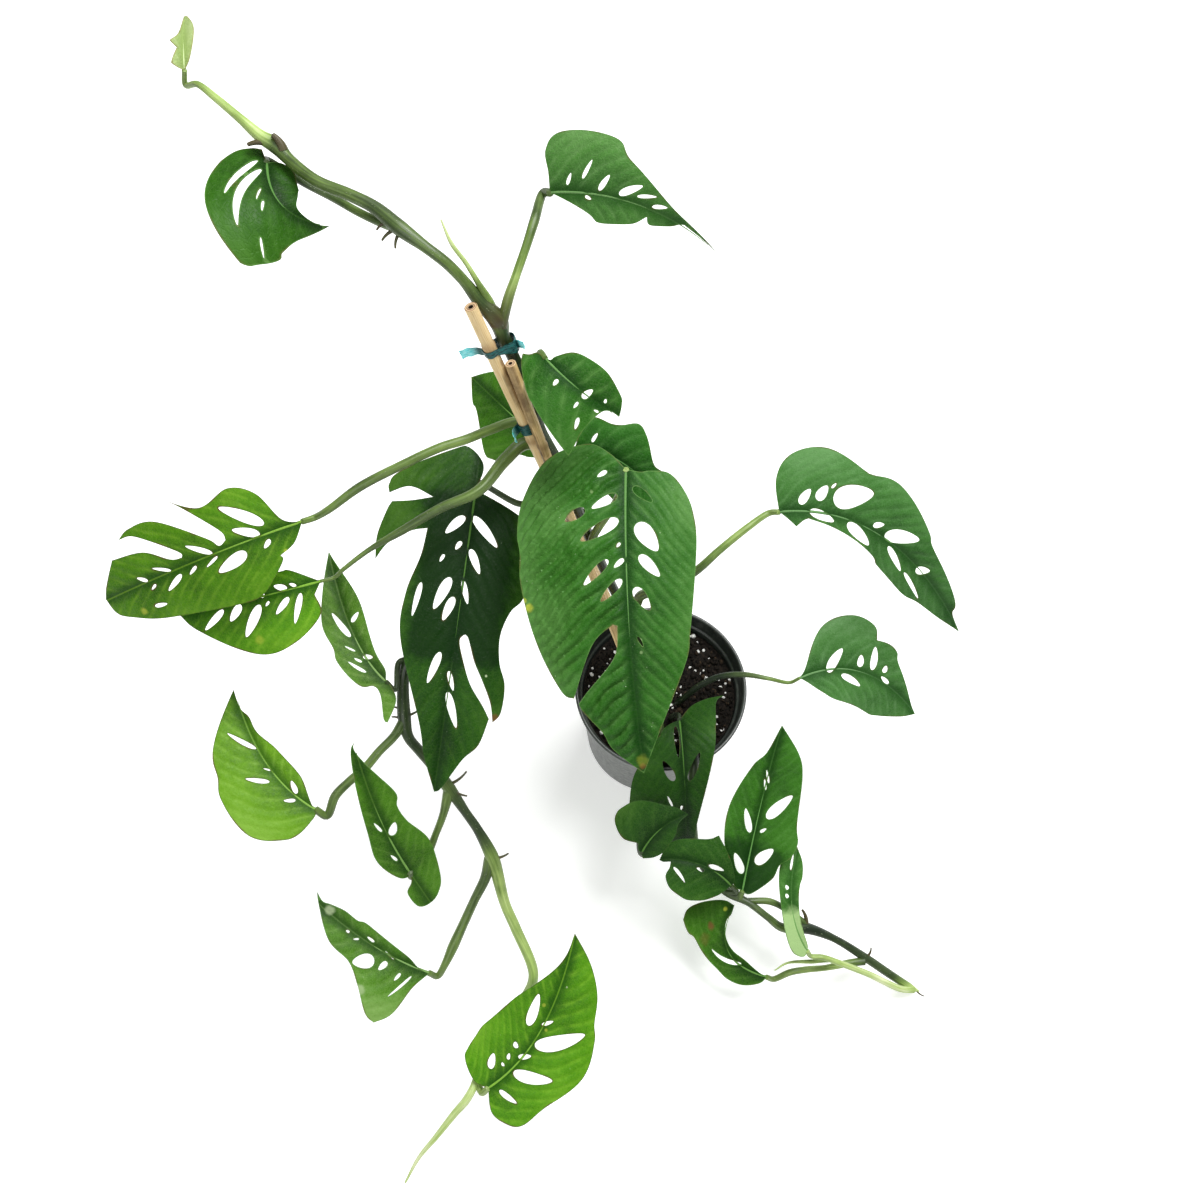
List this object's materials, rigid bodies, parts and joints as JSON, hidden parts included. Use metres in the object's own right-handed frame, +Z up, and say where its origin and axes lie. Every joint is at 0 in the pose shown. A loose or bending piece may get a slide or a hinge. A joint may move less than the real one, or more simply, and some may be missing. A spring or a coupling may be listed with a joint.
{
  "type": "potted monstera epipremnoides",
  "caption": "Potted vining house plant with slotted leaves on long stalks, tied to leaning bamboo canes in a round nursery pot, with arching and trailing stems.",
  "frame": {"origin": "centre of the pot's base, on the surface that the pot stands on", "axes": "+Z up, -Y towards the side that the picture is taken from, +X to the right of it"},
  "size_m": [0.6776, 0.6894, 0.5795],
  "materials": {
    "pot_plastic": "satin moulded plastic, scuffed grey outside",
    "potting_mix": "moist crumbs with white perlite",
    "bamboo": "dry pale cane",
    "bamboo_aged": "weathered brown cane",
    "tie_tape": "thin glossy stretch tape",
    "stem": "smooth with pale flecks",
    "leaf_green": "waxy",
    "leaf_deep": "waxy",
    "leaf_fresh": "waxy",
    "leaf_young": "soft"
  },
  "bodies": {
    "root": {"pot": "pot_plastic", "soil": "potting_mix", "cane_long": "bamboo", "cane_short": "bamboo_aged", "tie_upper": "tie_tape", "tie_lower": "tie_tape", "vine_main": "stem", "vine_left": "stem", "vine_right": "stem", "stem_right_lower": "stem", "stem_over_rim": "stem", "stem_under_rim": "stem", "leaf_top_left": "leaf_green", "leaf_top_right": "leaf_green", "leaf_stake_top": "leaf_green", "leaf_behind_stake": "leaf_green", "leaf_behind_big": "leaf_green", "leaf_big": "leaf_green", "leaf_dark": "leaf_deep", "leaf_left_upper": "leaf_fresh", "leaf_left_lower": "leaf_fresh", "leaf_hanging_left": "leaf_green", "leaf_left_round": "leaf_fresh", "leaf_twisted": "leaf_green", "leaf_low_left": "leaf_green", "leaf_front": "leaf_fresh", "leaf_right_upper": "leaf_green", "leaf_right_lower": "leaf_green", "leaf_over_rim": "leaf_deep", "leaf_under_rim": "leaf_deep", "leaf_low_front": "leaf_deep", "leaf_low_right": "leaf_green", "leaf_folded": "leaf_green", "leaf_low_curled": "leaf_green", "leaf_young_tip": "leaf_young"}
  },
  "joints": []
}
